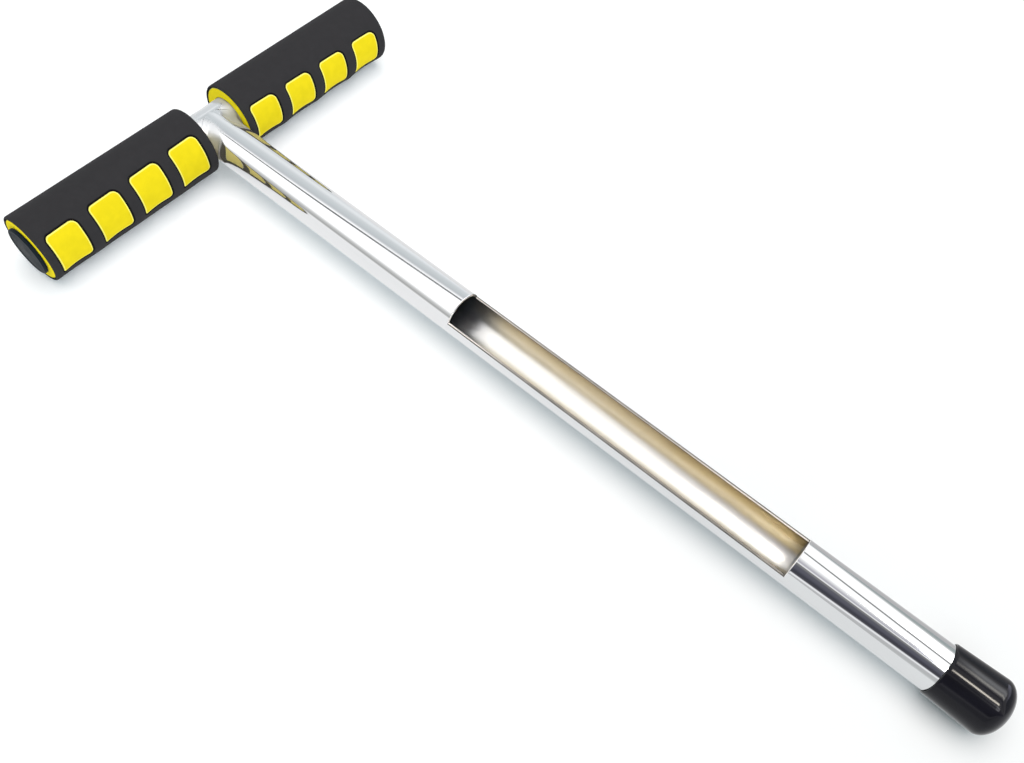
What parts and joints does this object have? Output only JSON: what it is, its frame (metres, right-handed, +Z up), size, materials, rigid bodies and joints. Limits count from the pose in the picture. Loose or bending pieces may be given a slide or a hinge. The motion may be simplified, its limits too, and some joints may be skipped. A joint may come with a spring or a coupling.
{
  "type": "soil sampling probe",
  "caption": "Tubular soil probe with a welded T handle, foam grips with finger-groove windows, an open sampling slot and a pull-off tip cap.",
  "frame": {"origin": "under the middle of the whole probe, on the surface that it lies on", "axes": "+X from the handle towards the tip, along the ground under the probe tube; +Y along the crossbar, towards the right grip; +Z up, away from the ground, the way the sampling slot opens"},
  "size_m": [0.542, 0.259, 0.0416],
  "materials": {
    "chrome": "bright plated and polished",
    "black_foam": "matte closed-cell foam skin",
    "yellow_foam": "matte closed-cell foam",
    "plug_plastic": "satin",
    "cap_vinyl": "glossy dipped vinyl"
  },
  "bodies": {
    "probe": {"probe_tube": "chrome", "crossbar_tube": "chrome", "grip_core_left": "yellow_foam", "grip_skin_left": "black_foam", "grip_core_right": "yellow_foam", "grip_skin_right": "black_foam", "end_plug_left": "plug_plastic", "end_plug_right": "plug_plastic"},
    "cap": {"tip_cap": "cap_vinyl"}
  },
  "joints": [
    {"name": "cap_pull", "type": "slide", "parent": "probe", "child": "cap", "axis": [0.9999, 0, -0.012], "range_m": [0, 0.06]}
  ]
}
